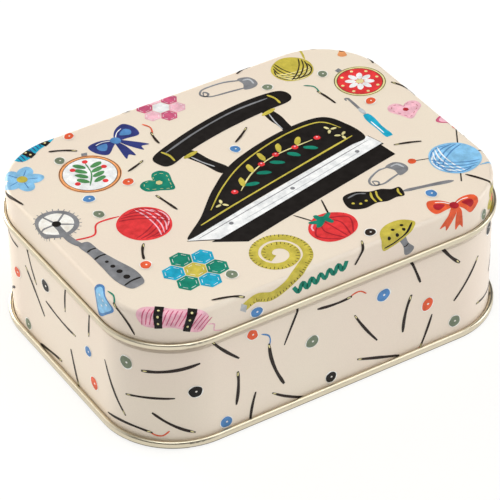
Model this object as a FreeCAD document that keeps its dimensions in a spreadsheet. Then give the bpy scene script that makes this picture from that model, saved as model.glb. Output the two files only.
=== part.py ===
"""A slip-lid keepsake tin with rounded corners, in millimetres.

Three pieces of tinplate make it: a body wall, which is one strip rolled round and hooked to itself in a
lock seam at the back; a base plate, curled round the flange at the foot of the wall; and a drawn lid whose
skirt slides down over the neck of the wall and ends in an outward curl. +Z is up, +X runs along the tin,
+Y points to the back, and the origin is at the middle of the footprint, on the table.

Every size is a cell of the sheet "Sizes". Sections are drawn on the XZ plane at the tin's right-hand end,
where "face" is the outer face of the body wall, and swept round the tin's plan outline.
"""
import FreeCAD
import Part
import Sketcher
import math
import os

SIZES = [
    ("tin_length", 122.0, "over the body wall, along X"),
    ("tin_width", 90.8, "over the body wall, along Y"),
    ("corner_radius", 21.3, "of the body wall's outer face, in plan"),
    ("total_height", 44.7, "from the table to the top of the lid"),
    ("sheet", 0.25, "thickness of the tinplate"),
    ("fit_gap", 0.3, "between the lid's skirt and the neck"),
    ("seat_gap", 0.1, "between the lid's panel and the rolled top of the wall"),
    ("seam_gap", 0.05, "between the layers of a seam or curl"),
    ("lid_inset", 0.1, "of the lid's skirt, behind the face of the wall"),
    ("lid_depth", 10.9, "from the top of the lid to the foot of its rim"),
    ("lid_rim_width", 1.25, "by which the lid's curl stands out from its skirt"),
    ("lid_rim_flat", 0.55, "height of the straight side of the lid's curl"),
    ("roll_radius", 0.65, "outer radius of the inward roll at the top of the wall"),
    ("shoulder_drop", 1.7, "from the foot of the lid down to the shoulder's lower edge"),
    ("shoulder_rise", 0.9, "height over which the shoulder steps in to the neck"),
    ("base_rim_width", 1.5, "by which the base curl stands out from the wall"),
    ("base_rim_flat", 0.85, "height of the straight side of the base curl"),
    ("foot_bend", 0.35, "inner radius of the two bends that leave a flat foot under the base curl"),
    ("base_recess", 2.6, "from the table up to the underside of the base panel"),
    ("base_panel_bend", 0.6, "inner radius where the base panel turns down"),
    ("flange_bend", 0.3, "inner radius where the foot of the wall turns out"),
    ("seam_width", 3.2, "of the hooked part of the lock seam"),
    ("seam_margin", 0.6, "between the lock seam's ends and the base panel or shoulder"),
]

HALF_LENGTH = "Sizes.tin_length / 2"
HALF_WIDTH = "Sizes.tin_width / 2"
FLAT_ANGLES = (0, 180, 360)


def make_sheet(doc):
    """The spreadsheet that holds every size, one alias a row."""
    sheet = doc.addObject("Spreadsheet::Sheet", "Sizes")
    for row, (alias, value, meaning) in enumerate(SIZES, 1):
        sheet.set(f"A{row}", alias)
        sheet.set(f"B{row}", str(value))
        sheet.set(f"C{row}", meaning)
        sheet.setAlias(f"B{row}", alias)
    doc.recompute()
    return sheet


def make_body(doc, label):
    """An empty body for one piece of tinplate."""
    body = doc.addObject("PartDesign::Body", label)
    body.Label = label
    return body


def make_sketch(body, name, role, height="0"):
    """A sketch on one of the body's own origin planes, raised by height along the plane's normal."""
    sketch = body.newObject("Sketcher::SketchObject", name)
    plane = next(f for f in body.Origin.OriginFeatures if f.Role == role)
    sketch.AttachmentSupport = [(plane, "")]
    sketch.MapMode = "FlatFace"
    sketch.setExpression("AttachmentOffset.Base.z", height)
    return sketch


class Outline:
    """Draws a closed outline in a sketch, as corners and arcs joined by straight lines.

    Each place is an expression of the sheet's cells, so the sketch follows the sheet.
    """

    def __init__(self, sketch):
        self.sketch = sketch
        self.items = []

    def value(self, expression):
        """The present value of an expression, as a plain number."""
        result = self.sketch.evalExpression(expression)
        return float(getattr(result, "Value", result))

    def corner(self, x, y):
        """A sharp corner."""
        self.items.append(("corner", x, y))
        return self

    def arc(self, x, y, radius, first, last):
        """An arc round (x, y) from one angle to another, both in whole right angles."""
        self.items.append(("arc", x, y, radius, first, last))
        return self

    def bind(self, kind, *places, expression):
        """A dimension that is bound to an expression."""
        number = self.sketch.addConstraint(Sketcher.Constraint(kind, *places, self.value(expression)))
        self.sketch.setExpression(f"Constraints[{number}]", expression)

    def add_arc(self, x, y, radius, first, last):
        """Adds an arc and ties its centre, radius and ends. Returns its two ends as (geometry, point)."""
        centre = FreeCAD.Vector(self.value(x), self.value(y), 0)
        circle = Part.Circle(centre, FreeCAD.Vector(0, 0, 1), self.value(radius))
        low, high = sorted((first, last))
        arc = self.sketch.addGeometry(Part.ArcOfCircle(circle, math.radians(low), math.radians(high)))
        self.bind("DistanceX", -1, 1, arc, 3, expression=x)
        self.bind("DistanceY", -1, 1, arc, 3, expression=y)
        self.bind("Radius", arc, expression=radius)
        for point, angle in ((1, low), (2, high)):
            level = "Horizontal" if angle in FLAT_ANGLES else "Vertical"
            self.sketch.addConstraint(Sketcher.Constraint(level, arc, point, arc, 3))
        ends = [(arc, 1), (arc, 2)]
        return ends if first < last else ends[::-1]

    def place_of(self, item, at_end):
        """Where an item starts or ends, as a vector."""
        if item[0] == "corner":
            return FreeCAD.Vector(self.value(item[1]), self.value(item[2]), 0)
        x, y, radius = (self.value(e) for e in item[1:4])
        angle = math.radians(item[5] if at_end else item[4])
        return FreeCAD.Vector(x + radius * math.cos(angle), y + radius * math.sin(angle), 0)

    def tie(self, one, other):
        """Joins two ends, each given as (geometry, point)."""
        self.sketch.addConstraint(Sketcher.Constraint("Coincident", *one, *other))

    def close(self):
        """Draws the items and the lines between them, and ties every end to the next."""
        ends = [self.add_arc(*i[1:]) if i[0] == "arc" else None for i in self.items]
        first_line, before = None, None
        for number, item in enumerate(self.items):
            following = (number + 1) % len(self.items)
            start, stop = self.place_of(item, True), self.place_of(self.items[following], False)
            line = self.sketch.addGeometry(Part.LineSegment(start, stop))
            if ends[number]:
                self.tie((line, 1), ends[number][1])
            else:
                self.bind("DistanceX", -1, 1, line, 1, expression=item[1])
                self.bind("DistanceY", -1, 1, line, 1, expression=item[2])
                if before is not None:
                    self.tie((before, 2), (line, 1))
            if ends[following]:
                self.tie((line, 2), ends[following][0])
                before = None
            else:
                before = line
            first_line = line if first_line is None else first_line
        if before is not None and not ends[0]:
            self.tie((before, 2), (first_line, 1))
        return self.sketch


def rounded_plan(body, name, inset, height="0"):
    """A sketch of the tin's plan outline, drawn in by inset from the face of the wall."""
    sketch = make_sketch(body, name, "XY_Plane", height)
    radius = f"Sizes.corner_radius - ({inset})"
    x = f"{HALF_LENGTH} - Sizes.corner_radius"
    y = f"{HALF_WIDTH} - Sizes.corner_radius"
    outline = Outline(sketch)
    outline.arc(x, y, radius, 0, 90).arc(f"-({x})", y, radius, 90, 180)
    outline.arc(f"-({x})", f"-({y})", radius, 180, 270).arc(x, f"-({y})", radius, 270, 360)
    return outline.close()


def sweep_section(body, section, path, name):
    """Sweeps a section of folded sheet round the tin."""
    pipe = body.newObject("PartDesign::AdditivePipe", name)
    pipe.Profile = section
    pipe.Spine = (path, [f"Edge{n + 1}" for n in range(len(path.Shape.Edges))])
    pipe.Mode = "Standard"
    pipe.Transition = "Transformed"
    return pipe


def pad_sketch(body, sketch, name, length):
    """Pads a sketch along its normal."""
    pad = body.newObject("PartDesign::Pad", name)
    pad.Profile = sketch
    pad.setExpression("Length", length)
    return pad


def from_face(distance):
    """The section's X of a place that stands out from the face of the wall by a distance."""
    return f"{HALF_LENGTH} + ({distance})"


def make_lid(doc):
    """The drawn lid: a flat panel, a rounded edge, a skirt and an outward curl round its foot."""
    body = make_body(doc, "lid")
    skirt = "-Sizes.lid_inset"
    inner = f"{skirt} - Sizes.sheet"
    edge_bend = "(Sizes.roll_radius + Sizes.fit_gap)"
    edge_centre = (from_face(f"{inner} - {edge_bend}"), f"Sizes.total_height - Sizes.sheet - {edge_bend}")
    foot = "Sizes.total_height - Sizes.lid_depth"
    low_radius = "(Sizes.lid_rim_width + Sizes.sheet) / 2"
    top_radius = "(Sizes.lid_rim_width - Sizes.seam_gap) / 2"
    low_z = f"{foot} + {low_radius}"
    low_centre = (from_face(f"{inner} + {low_radius}"), low_z)
    top_centre = (from_face(f"{skirt} + Sizes.lid_rim_width - {top_radius}"), f"{low_z} + Sizes.lid_rim_flat")

    section = Outline(make_sketch(body, "lid_section", "XZ_Plane"))
    section.arc(*edge_centre, edge_bend, 90, 0)
    section.arc(*low_centre, low_radius, 180, 360)
    section.arc(*top_centre, top_radius, 0, 180)
    section.arc(*top_centre, f"{top_radius} - Sizes.sheet", 180, 0)
    section.arc(*low_centre, f"{low_radius} - Sizes.sheet", 360, 180)
    section.arc(*edge_centre, f"{edge_bend} + Sizes.sheet", 0, 90)
    profile = section.close()
    path = rounded_plan(body, "lid_path", "0")
    doc.recompute()
    sweep_section(body, profile, path, "lid_skirt_and_rim")
    panel_inset = f"Sizes.lid_inset + Sizes.sheet + {edge_bend}"
    panel = rounded_plan(body, "lid_panel_plan", panel_inset, "Sizes.total_height - Sizes.sheet")
    pad_sketch(body, panel, "lid_panel", "Sizes.sheet")
    return body


BASE_INNER = "-2 * Sizes.sheet - Sizes.seam_gap"
FOOT_BEND = "(Sizes.foot_bend + Sizes.sheet)"
FLANGE_LOW = "(Sizes.sheet + Sizes.seam_gap)"
FLANGE_TOP = f"({FLANGE_LOW} + Sizes.sheet)"


def make_base(doc):
    """The base plate: a raised panel, a wall that drops inside the body, and a curl round the flange."""
    body = make_body(doc, "base_plate")
    left_bend = (from_face(f"{BASE_INNER} + {FOOT_BEND}"), FOOT_BEND)
    right_bend = (from_face(f"Sizes.base_rim_width - {FOOT_BEND}"), FOOT_BEND)
    top_radius = "(Sizes.base_rim_width - Sizes.seam_gap) / 2"
    top_centre = (from_face(f"Sizes.base_rim_width - {top_radius}"), f"{FOOT_BEND} + Sizes.base_rim_flat")
    hook_end = f"{FLANGE_TOP} + Sizes.flange_bend + Sizes.seam_gap"
    panel_edge = f"{BASE_INNER} - Sizes.base_panel_bend"
    panel_bend = (from_face(panel_edge), "Sizes.base_recess - Sizes.base_panel_bend")

    section = Outline(make_sketch(body, "base_section", "XZ_Plane"))
    section.arc(*panel_bend, "Sizes.base_panel_bend", 90, 0)
    section.arc(*left_bend, FOOT_BEND, 180, 270)
    section.arc(*right_bend, FOOT_BEND, 270, 360)
    section.arc(*top_centre, top_radius, 0, 180)
    section.corner(from_face("Sizes.seam_gap"), hook_end)
    section.corner(from_face("Sizes.seam_gap + Sizes.sheet"), hook_end)
    section.arc(*top_centre, f"{top_radius} - Sizes.sheet", 180, 0)
    section.arc(*right_bend, "Sizes.foot_bend", 360, 270)
    section.arc(*left_bend, "Sizes.foot_bend", 270, 180)
    section.arc(*panel_bend, "Sizes.base_panel_bend + Sizes.sheet", 0, 90)
    profile = section.close()
    path = rounded_plan(body, "base_path", "0")
    doc.recompute()
    sweep_section(body, profile, path, "base_curl")
    panel = rounded_plan(body, "base_panel_plan", f"-({panel_edge})", "Sizes.base_recess")
    pad_sketch(body, panel, "base_panel", "Sizes.sheet")
    return body


def wall_section(body):
    """The wall from its flange in the base curl, up past the shoulder, to its rolled top."""
    below_bend = "(Sizes.foot_bend - Sizes.seam_gap)"
    reach = f"sqrt(Sizes.foot_bend * Sizes.foot_bend - {below_bend} * {below_bend})"
    flange_edge = from_face(f"Sizes.base_rim_width - {FOOT_BEND} + {reach} - Sizes.seam_gap")
    flange_bend = (from_face("Sizes.flange_bend"), f"{FLANGE_TOP} + Sizes.flange_bend")
    neck = "-Sizes.lid_inset - Sizes.sheet - Sizes.fit_gap"
    neck_inner = from_face(f"{neck} - Sizes.sheet")
    shoulder = "Sizes.total_height - Sizes.lid_depth - Sizes.shoulder_drop"
    neck_foot = f"{shoulder} + Sizes.shoulder_rise"
    top = "Sizes.total_height - Sizes.sheet - Sizes.seat_gap"
    roll_centre = (from_face(f"{neck} - Sizes.roll_radius"), f"{top} - Sizes.roll_radius")

    section = Outline(make_sketch(body, "wall_section", "XZ_Plane"))
    section.corner(flange_edge, FLANGE_TOP)
    section.arc(*flange_bend, "Sizes.flange_bend", 270, 180)
    section.corner(HALF_LENGTH, shoulder)
    section.corner(from_face(neck), neck_foot)
    section.arc(*roll_centre, "Sizes.roll_radius", 0, 270)
    section.arc(*roll_centre, "Sizes.roll_radius - Sizes.sheet", 270, 0)
    section.corner(neck_inner, neck_foot)
    section.corner(from_face("-Sizes.sheet"), shoulder)
    section.arc(*flange_bend, "Sizes.flange_bend + Sizes.sheet", 180, 270)
    section.corner(flange_edge, FLANGE_LOW)
    return section.close()


def layer(number):
    """Y of the outer face of a layer of the lock seam, counted inwards from the wall as 0."""
    return f"{HALF_WIDTH} - {number} * (Sizes.sheet + Sizes.seam_gap)"


def under(number):
    """Y of the inner face of a layer of the lock seam."""
    return f"{layer(number)} - Sizes.sheet"


def make_wall(doc):
    """The body wall, with the two hooks of its lock seam inside the middle of the back."""
    body = make_body(doc, "body_wall")
    section = wall_section(body)
    path = rounded_plan(body, "wall_path", "0")
    doc.recompute()
    sweep_section(body, section, path, "wall_strip")

    half = "Sizes.seam_width / 2"
    outer = f"{half} + Sizes.seam_gap"
    bottom = "Sizes.base_recess + Sizes.sheet + Sizes.seam_margin"
    shoulder = "Sizes.total_height - Sizes.lid_depth - Sizes.shoulder_drop"
    height = f"{shoulder} - Sizes.seam_margin - ({bottom})"

    slit_edges = (f"{under(0)} - Sizes.seam_gap", f"{HALF_WIDTH} + Sizes.seam_gap")
    slit = Outline(make_sketch(body, "seam_slit_plan", "XY_Plane", bottom))
    slit.corner(half, slit_edges[0])
    slit.corner(outer, slit_edges[0])
    slit.corner(outer, slit_edges[1])
    slit.corner(half, slit_edges[1])
    pocket = body.newObject("PartDesign::Pocket", "seam_slit")
    pocket.Profile = slit.close()
    pocket.Reversed = True
    pocket.setExpression("Length", height)

    hook = Outline(make_sketch(body, "left_hook_plan", "XY_Plane", bottom))
    hook.corner(f"{half} - Sizes.sheet", under(0))
    hook.corner(half, under(0))
    hook.corner(half, under(2))
    hook.corner(f"-({half}) + Sizes.sheet + Sizes.seam_gap", under(2))
    hook.corner(f"-({half}) + Sizes.sheet + Sizes.seam_gap", layer(2))
    hook.corner(f"{half} - Sizes.sheet", layer(2))
    pad_sketch(body, hook.close(), "left_hook", height)

    hook = Outline(make_sketch(body, "right_hook_plan", "XY_Plane", bottom))
    hook.corner(outer, under(0))
    hook.corner(f"{outer} + Sizes.sheet", under(0))
    hook.corner(f"{outer} + Sizes.sheet", under(3))
    hook.corner(f"-({half})", under(3))
    hook.corner(f"-({half})", layer(1))
    hook.corner(f"{half} - Sizes.sheet - Sizes.seam_gap", layer(1))
    hook.corner(f"{half} - Sizes.sheet - Sizes.seam_gap", under(1))
    hook.corner(f"-({half}) + Sizes.sheet", under(1))
    hook.corner(f"-({half}) + Sizes.sheet", layer(3))
    hook.corner(outer, layer(3))
    pad_sketch(body, hook.close(), "right_hook", height)
    return body


def check_model(doc, bodies):
    """Stops if any feature failed or any piece isn't one valid solid."""
    for item in doc.Objects:
        if {"Invalid", "Error"} & set(item.State):
            raise RuntimeError(f"{item.Label} failed: {item.State}")
    for body in bodies:
        shape = body.Shape
        if shape.isNull() or not shape.isValid() or len(shape.Solids) != 1:
            raise RuntimeError(f"{body.Label} isn't one valid solid")
        print(body.Label, "volume", round(shape.Volume, 1), "box", shape.BoundBox)


def main():
    """Builds the tin and writes each piece to parts/."""
    doc = FreeCAD.newDocument("sewing_tin")
    make_sheet(doc)
    bodies = [make_wall(doc), make_base(doc), make_lid(doc)]
    doc.recompute()
    check_model(doc, bodies)
    os.makedirs("parts", exist_ok=True)
    for body in bodies:
        body.Shape.exportStep(f"parts/{body.Label}.step")


main()
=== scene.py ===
"""Dresses a slip-lid keepsake tin: cream lacquer, bare tinplate curls, and a print of needlework things.

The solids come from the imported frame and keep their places. The print is made of thin films of ink, drawn
flat in millimetres and then wrapped over the lid's rounded edge or round the body's wall.
"""
import logging
import math
import random
from dataclasses import dataclass
from enum import Enum
from typing import Callable, Iterable, Protocol, Sequence

import bmesh
import bpy
from mathutils import Matrix, Vector


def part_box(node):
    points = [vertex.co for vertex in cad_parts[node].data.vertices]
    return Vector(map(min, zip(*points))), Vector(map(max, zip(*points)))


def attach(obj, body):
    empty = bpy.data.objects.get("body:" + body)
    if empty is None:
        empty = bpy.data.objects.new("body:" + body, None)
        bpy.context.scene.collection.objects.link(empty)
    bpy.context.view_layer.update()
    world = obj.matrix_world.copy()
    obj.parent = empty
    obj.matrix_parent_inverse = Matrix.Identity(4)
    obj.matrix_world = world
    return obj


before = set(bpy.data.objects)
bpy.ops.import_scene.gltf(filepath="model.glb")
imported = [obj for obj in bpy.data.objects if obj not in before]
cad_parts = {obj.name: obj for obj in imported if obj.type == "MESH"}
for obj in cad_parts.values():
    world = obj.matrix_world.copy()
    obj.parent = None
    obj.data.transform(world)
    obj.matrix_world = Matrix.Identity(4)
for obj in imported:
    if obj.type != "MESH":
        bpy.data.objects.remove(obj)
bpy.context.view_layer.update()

MM = 0.001
LOG = logging.getLogger("sewing_tin")

# most of a noise texture's values lie between these two
NOISE_LOW = 0.3
NOISE_HIGH = 0.7

# the lowest film's height over the lacquer, and how much higher each next film lies, in millimetres
FILM_GAP = 0.03
FILM_STEP = 0.006

# a length that counts as nothing, and how near a cut has to pass to use a vertex, in millimetres
TINY = 1e-9
CUT_SNAP = 1e-5

# a place on an axis that no point of the tin lies past, in metres
OUT_OF_REACH = 1.0

Point = tuple[float, float]
Span = tuple[float, float]


# ---- adding to the scene ----


def add_object(name: str, data: bpy.types.ID) -> bpy.types.Object:
    """Adds an object with this data to the scene. Returns it."""
    added = bpy.data.objects.new(name, data)
    bpy.context.scene.collection.objects.link(added)
    return added


def add_mesh(name: str, shape: bmesh.types.BMesh) -> bpy.types.Object:
    """Adds a mesh object to the scene and uses its shape up. Returns the object."""
    data = bpy.data.meshes.new(name)
    shape.to_mesh(data)
    shape.free()
    return add_object(name, data)


# ---- colours ----


def srgb_to_linear(code: str) -> tuple[float, float, float, float]:
    """Turns an sRGB hex colour into the linear colour that a shader takes.

    Args:
        code: six hex digits, such as "f0e2d2".

    Returns:
        Red, green, blue and an alpha of 1, linear.
    """
    channels = [int(code[i : i + 2], 16) / 255 for i in (0, 2, 4)]
    linear = [c / 12.92 if c <= 0.04045 else ((c + 0.055) / 1.055) ** 2.4 for c in channels]
    return (*linear, 1.0)


class Ink(Enum):
    """The printing inks, as sRGB hex."""

    COAL = "130d0a"
    SEPIA = "2b201a"
    SLATE = "7f8084"
    SILVER = "b9bcc0"
    PAPER = "eef0f2"
    MILK = "f8f1e6"
    OCHRE = "c4b448"
    STRAW = "e2d79a"
    VERMILION = "de5a34"
    SCARLET = "dc3538"
    CRIMSON = "a81f2c"
    APRICOT = "f0a066"
    ROSE = "ecb4c2"
    RASPBERRY = "c9587c"
    CORNFLOWER = "4f84bc"
    SKY = "86bfe6"
    NAVY = "2b3476"
    TURQUOISE = "17a3c4"
    TEAL = "0a7f68"
    LEAF = "4d8a52"
    SAGE = "74806a"


# ---- materials ----


class Finish:
    """A material in the making: its node tree and the place on the piece, in metres."""

    def __init__(self, name: str) -> None:
        """Starts an empty material.

        Args:
            name: the material's name.
        """
        self.material = bpy.data.materials.new(name)
        self.material.use_nodes = True
        self.tree = self.material.node_tree
        self.tree.nodes.clear()
        self.place = self.add("ShaderNodeTexCoord").outputs["Object"]

    def add(self, kind: str, inputs: dict | None = None, **settings) -> bpy.types.Node:
        """Adds one node with its settings, values and links.

        Args:
            kind: the node's type name.
            inputs: input name or number, to a value, a socket, or a node whose first output in use feeds it.
            settings: the node's own properties.

        Returns:
            The new node.
        """
        node = self.tree.nodes.new(kind)
        for name, value in settings.items():
            setattr(node, name, value)
        for name, value in (inputs or {}).items():
            socket = node.inputs[name] if isinstance(name, int) else next(
                known for known in node.inputs if known.name == name and known.enabled)
            if isinstance(value, bpy.types.Node):
                value = next(output for output in value.outputs if output.enabled)
            if isinstance(value, bpy.types.NodeSocket):
                self.tree.links.new(value, socket)
            else:
                socket.default_value = value
        return node

    def mottle(self, size_mm: float, low: float = 0.0, high: float = 1.0,
               detail: float = 2.0) -> bpy.types.Node:
        """An uneven value whose blotches have a real size.

        Args:
            size_mm: the size of a blotch.
            low: the value in its hollows.
            high: the value on its peaks.
            detail: how many finer octaves are added.

        Returns:
            The node that gives the value.
        """
        cloud = self.add("ShaderNodeTexNoise", {
            "Vector": self.place, "Scale": 1 / (size_mm * MM), "Detail": detail})
        return self.add("ShaderNodeMapRange", {
            "Value": cloud, "From Min": NOISE_LOW, "From Max": NOISE_HIGH, "To Min": low, "To Max": high})

    def about(self, size_mm: float, middle: float, spread: float) -> bpy.types.Node:
        """An uneven value that strays from a middle one by up to its spread."""
        return self.mottle(size_mm, middle - spread, middle + spread)

    def height(self) -> bpy.types.NodeSocket:
        """The height over the table, in metres."""
        return self.add("ShaderNodeSeparateXYZ", {0: self.place}).outputs["Z"]

    def past(self, place: bpy.types.Node, corner: tuple[float, float, float]) -> bpy.types.Node:
        """How far a place lies past a corner, counted only along the axes on which it is past it.

        Args:
            place: the node that gives the place.
            corner: the corner, in metres.

        Returns:
            The node that gives the distance, in metres.
        """
        beyond = self.add("ShaderNodeVectorMath", {0: place, 1: corner}, operation="SUBTRACT")
        beyond = self.add("ShaderNodeVectorMath", {0: beyond, 1: (0, 0, 0)}, operation="MAXIMUM")
        return self.add("ShaderNodeVectorMath", {0: beyond}, operation="LENGTH")

    def close(self, inputs: dict) -> bpy.types.Material:
        """Adds the Principled shader with its inputs, and the output. Returns the material."""
        shader = self.add("ShaderNodeBsdfPrincipled", inputs)
        self.add("ShaderNodeOutputMaterial", {"Surface": shader})
        return self.material


@dataclass(frozen=True)
class Varnish:
    """The clear satin varnish stoved over print and lacquer alike.

    It gives the eye one soft highlight along each fold, and the faint ripple that a roller leaves.
    """

    coat: float = 0.25
    coat_roughness: float = 0.17
    ripple_mm: float = 1.6
    ripple_detail: float = 1.0
    ripple_height_mm: float = 0.002

    def over(self, finish: Finish, where: bpy.types.Node | None = None) -> dict:
        """The shader inputs that the varnish sets.

        Args:
            finish: the material that is varnished.
            where: a node that is 1 where there is varnish and 0 where there is none; all over when left out.

        Returns:
            Input names and their values or nodes.
        """
        bump = finish.add("ShaderNodeBump", {
            "Height": finish.mottle(self.ripple_mm, detail=self.ripple_detail),
            "Strength": 1.0 if where is None else where,
            "Distance": self.ripple_height_mm * MM,
        })
        coat = self.coat if where is None else finish.add(
            "ShaderNodeMath", {0: where, 1: self.coat}, operation="MULTIPLY")
        return {"Coat Weight": coat, "Coat Roughness": self.coat_roughness, "Normal": bump}


@dataclass(frozen=True)
class Tinplate:
    """Rolled tinplate under a thin gold-tinted varnish.

    It gives the eye a pale champagne metal: each curl carries a bright line and a beige band, and fine
    streaks run the way that the sheet was rolled.
    """

    pale: str = "d8ceb8"
    deep: str = "d1c7af"
    roughness: float = 0.31
    roughness_spread: float = 0.012
    worn_mm: float = 9.0
    streak_mm: float = 0.25
    streak_stretch: float = 0.04
    cloud_mm: float = 14.0
    cloud_depth: float = 0.4
    detail: float = 3.0
    # painted contact shadow: the dark tint, and the height below which the rim's foot is darkened where shade
    # falls next to the table
    painted_shadow: str = "4c4434"
    painted_shadow_top_mm: float = 0.56
    painted_shadow_edge_mm: float = 0.1

    def colour(self, finish: Finish) -> bpy.types.Node:
        """The node that gives the metal's colour."""
        rolled = finish.add("ShaderNodeMapping", {
            "Vector": finish.place, "Scale": (self.streak_stretch, 1.0, 1.0)})
        streaks = finish.add("ShaderNodeTexNoise", {
            "Vector": rolled, "Scale": 1 / (self.streak_mm * MM), "Detail": self.detail})
        clouds = finish.mottle(self.cloud_mm, -self.cloud_depth, self.cloud_depth, self.detail)
        blend = finish.add("ShaderNodeMath", {0: streaks, 1: clouds}, operation="ADD", use_clamp=True)
        return finish.add("ShaderNodeMix", {
            "Factor": blend,
            "A": srgb_to_linear(self.pale),
            "B": srgb_to_linear(self.deep),
        }, data_type="RGBA")

    def rough(self, finish: Finish) -> bpy.types.Node:
        """The node that gives the metal's roughness."""
        return finish.about(self.worn_mm, self.roughness, self.roughness_spread)

    def build(self, name: str) -> bpy.types.Material:
        """A material of this metal alone, with a painted contact shadow: a dark line where a rim turns under
        onto the table.
        """
        finish = Finish(name)
        # painted shade: below this height the metal turns to the dark tint, which stands in for the contact
        # shadow under the foot
        low = finish.add("ShaderNodeMapRange", {
            "Value": finish.height(),
            "From Min": (self.painted_shadow_top_mm - self.painted_shadow_edge_mm) * MM,
            "From Max": (self.painted_shadow_top_mm + self.painted_shadow_edge_mm) * MM,
            "To Min": 1.0,
            "To Max": 0.0,
        })
        colour = finish.add("ShaderNodeMix", {
            "Factor": low, "A": self.colour(finish), "B": srgb_to_linear(self.painted_shadow)}, data_type="RGBA")
        return finish.close({"Base Color": colour, "Metallic": 1.0, "Roughness": self.rough(finish)})


@dataclass(frozen=True)
class CreamLacquer:
    """A cream base coat, rolled on tinplate and stoved.

    It gives the eye a warm, even, satin ground that turns a little pinker in places.
    """

    cream: str = "f0e3d0"
    blush: str = "efdecd"
    cloud_mm: float = 38.0
    grain_mm: float = 0.35
    grain_low: float = 0.975
    grain_high: float = 1.01
    roughness: float = 0.42
    roughness_spread: float = 0.03
    worn_mm: float = 6.0

    def colour(self, finish: Finish) -> bpy.types.Node:
        """The node that gives the lacquer's colour."""
        tinted = finish.add("ShaderNodeMix", {
            "Factor": finish.mottle(self.cloud_mm),
            "A": srgb_to_linear(self.cream),
            "B": srgb_to_linear(self.blush),
        }, data_type="RGBA")
        grain = finish.mottle(self.grain_mm, self.grain_low, self.grain_high)
        return finish.add("ShaderNodeVectorMath", {0: tinted, "Scale": grain}, operation="SCALE")

    def rough(self, finish: Finish) -> bpy.types.Node:
        """The node that gives the lacquer's roughness."""
        return finish.about(self.worn_mm, self.roughness, self.roughness_spread)


@dataclass(frozen=True)
class PrintedTin:
    """Tinplate with cream lacquer on its outside only: a mask follows the outer face of the sheet.

    It gives the eye cream outside, and bare champagne metal inside and on every curl.
    """

    form: "TinForm"
    lacquer: CreamLacquer = CreamLacquer()
    metal: Tinplate = Tinplate()
    varnish: Varnish = Varnish()

    def build(self, name: str, mask: Callable[[Finish], bpy.types.Node]) -> bpy.types.Material:
        """A material with lacquer where the mask is 1 and bare metal where it is 0.

        Args:
            name: the material's name.
            mask: makes the node that gives the mask.

        Returns:
            The material.
        """
        finish = Finish(name)
        printed = mask(finish)
        colour = finish.add("ShaderNodeMix", {
            "Factor": printed, "A": self.metal.colour(finish), "B": self.lacquer.colour(finish),
        }, data_type="RGBA")
        rough = finish.add("ShaderNodeMix", {
            "Factor": printed, "A": self.metal.rough(finish), "B": self.lacquer.rough(finish)})
        bare = finish.add("ShaderNodeMath", {0: 1.0, 1: printed}, operation="SUBTRACT")
        return finish.close({
            "Base Color": colour, "Metallic": bare, "Roughness": rough, **self.varnish.over(finish, printed)})

    def stand_out(self, finish: Finish) -> bpy.types.Node:
        """How far a point stands out from the face of the wall, in metres."""
        form = self.form
        quarter = finish.add("ShaderNodeVectorMath", {0: finish.place}, operation="ABSOLUTE")
        reach = finish.past(quarter, (form.core_x * MM, form.core_y * MM, OUT_OF_REACH))
        return finish.add("ShaderNodeMath", {0: reach, 1: form.corner_radius * MM}, operation="SUBTRACT")

    def lid_mask(self, finish: Finish) -> bpy.types.Node:
        """Lacquer on the lid's outside, from the panel down to where its curl stands out."""
        form, out, height = self.form, self.stand_out(finish), finish.height()
        section = finish.add("ShaderNodeCombineXYZ", {"X": out, "Y": height})
        shell = finish.past(section, (-(form.lid_inset + form.lid_edge) * MM, form.edge_z * MM, 0))
        outside = finish.add("ShaderNodeMath", {
            0: shell, 1: (form.lid_edge - form.sheet / 2) * MM}, operation="GREATER_THAN")
        clear = finish.add("ShaderNodeMath", {
            0: height, 1: (form.lid_rim_top - form.lacquer_tuck) * MM}, operation="GREATER_THAN")
        flush = finish.add("ShaderNodeMath", {0: out, 1: form.rim_clearance * MM}, operation="LESS_THAN")
        above = finish.add("ShaderNodeMath", {0: clear, 1: flush}, operation="MULTIPLY")
        return finish.add("ShaderNodeMath", {0: outside, 1: above}, operation="MULTIPLY")

    def wall_mask(self, finish: Finish) -> bpy.types.Node:
        """Lacquer on the wall's outside, from its foot up to the roll at its top."""
        form, height = self.form, finish.height()
        middle = finish.add("ShaderNodeMapRange", {
            "Value": height,
            "From Min": form.shoulder_z * MM,
            "From Max": form.neck_z * MM,
            "To Min": -form.sheet / 2 * MM,
            "To Max": (form.neck_offset - form.sheet / 2) * MM,
        })
        out = self.stand_out(finish)
        outside = finish.add("ShaderNodeMath", {0: out, 1: middle}, operation="GREATER_THAN")
        below = finish.add("ShaderNodeMath", {0: height, 1: form.roll_foot_z * MM}, operation="LESS_THAN")
        return finish.add("ShaderNodeMath", {0: outside, 1: below}, operation="MULTIPLY")


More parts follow.
